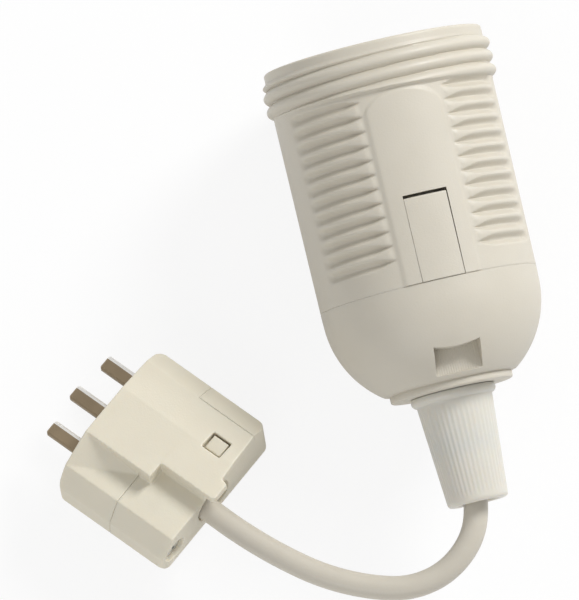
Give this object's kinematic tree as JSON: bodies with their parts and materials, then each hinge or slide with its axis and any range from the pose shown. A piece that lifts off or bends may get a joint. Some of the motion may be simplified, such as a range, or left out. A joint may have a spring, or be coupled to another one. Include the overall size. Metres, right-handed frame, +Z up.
{
  "type": "pendant lamp holder",
  "caption": "Pendant lamp holder with a threaded, ribbed barrel for a screw lamp, a dome cap, a cord-grip nut and a short flex to a flat-pin plug.",
  "frame": {"origin": "under the middle of the holder's length and width, on the surface that its barrel lies on", "axes": "+Y along the holder's axis, out of its open end; +Z up, toward the latch's side; +X to the right, seen from above with the open end away"},
  "size_m": [0.0893, 0.093, 0.04],
  "materials": {
    "holder_plastic": "cream moulded thermoplastic with a fine satin texture",
    "nut_plastic": "paler, slightly translucent moulded plastic",
    "plug_plastic": "creamier moulded thermoplastic, satin",
    "carrier_plastic": "matt heat-proof insulating moulding",
    "cord_pvc": "beige-grey soft PVC sheath",
    "shell_metal": "rolled nickel-plated brass sleeve",
    "contact_brass": "stamped brass",
    "pin_nickel": "dull nickel-plated brass, brownish",
    "screw_steel": "plain steel",
    "screw_zinc": "zinc-plated steel",
    "core_brown": "brown core insulation",
    "core_blue": "blue core insulation"
  },
  "bodies": {
    "holder": {"outer_shell": "holder_plastic", "dome_cap": "holder_plastic", "contact_carrier": "carrier_plastic", "screw_shell": "shell_metal", "live_strip": "contact_brass", "neutral_strip": "contact_brass", "live_terminal": "contact_brass", "neutral_terminal": "contact_brass", "terminal_screws": "screw_steel", "holder_live_core": "core_brown", "holder_neutral_core": "core_blue", "flex_cord": "cord_pvc", "plug_body": "plug_plastic", "plug_cover": "plug_plastic", "plug_pin_live": "pin_nickel", "plug_pin_earth": "pin_nickel", "plug_pin_neutral": "pin_nickel", "plug_terminal_screws": "screw_steel", "plug_cover_screw": "screw_zinc", "plug_cord_clamp": "screw_zinc", "plug_clamp_screws": "screw_zinc", "plug_live_core": "core_brown", "plug_neutral_core": "core_blue"},
    "latch": {"release_latch": "holder_plastic"},
    "contact": {"centre_contact": "contact_brass"},
    "ring": {"grip_ring": "nut_plastic"},
    "nut": {"cord_grip_nut": "nut_plastic"}
  },
  "joints": [
    {"name": "latch_press", "type": "hinge", "parent": "holder", "child": "latch", "pos_m": [0.00266, -0.0016, 0.03679], "axis": [-0.9877, 0, 0.1564], "range_deg": [0, 5], "stiffness_Nm_per_rad": 0.8},
    {"name": "contact_press", "type": "hinge", "parent": "holder", "child": "contact", "pos_m": [0.0082, 0.0025, 0.02], "axis": [0, 0, 1], "range_deg": [0, 12], "stiffness_Nm_per_rad": 0.2},
    {"name": "ring_slide", "type": "slide", "parent": "holder", "child": "ring", "axis": [0, -1, 0], "range_m": [0, 0.002]},
    {"name": "nut_turn", "type": "hinge", "parent": "ring", "child": "nut", "pos_m": [0, -0.03, 0.02], "axis": [0, -1, 0], "range_deg": [0, 720]}
  ],
  "couplings": [
    {"joint": "nut_turn", "follows": "ring_slide", "rad_per_m": 6283.1}
  ]
}
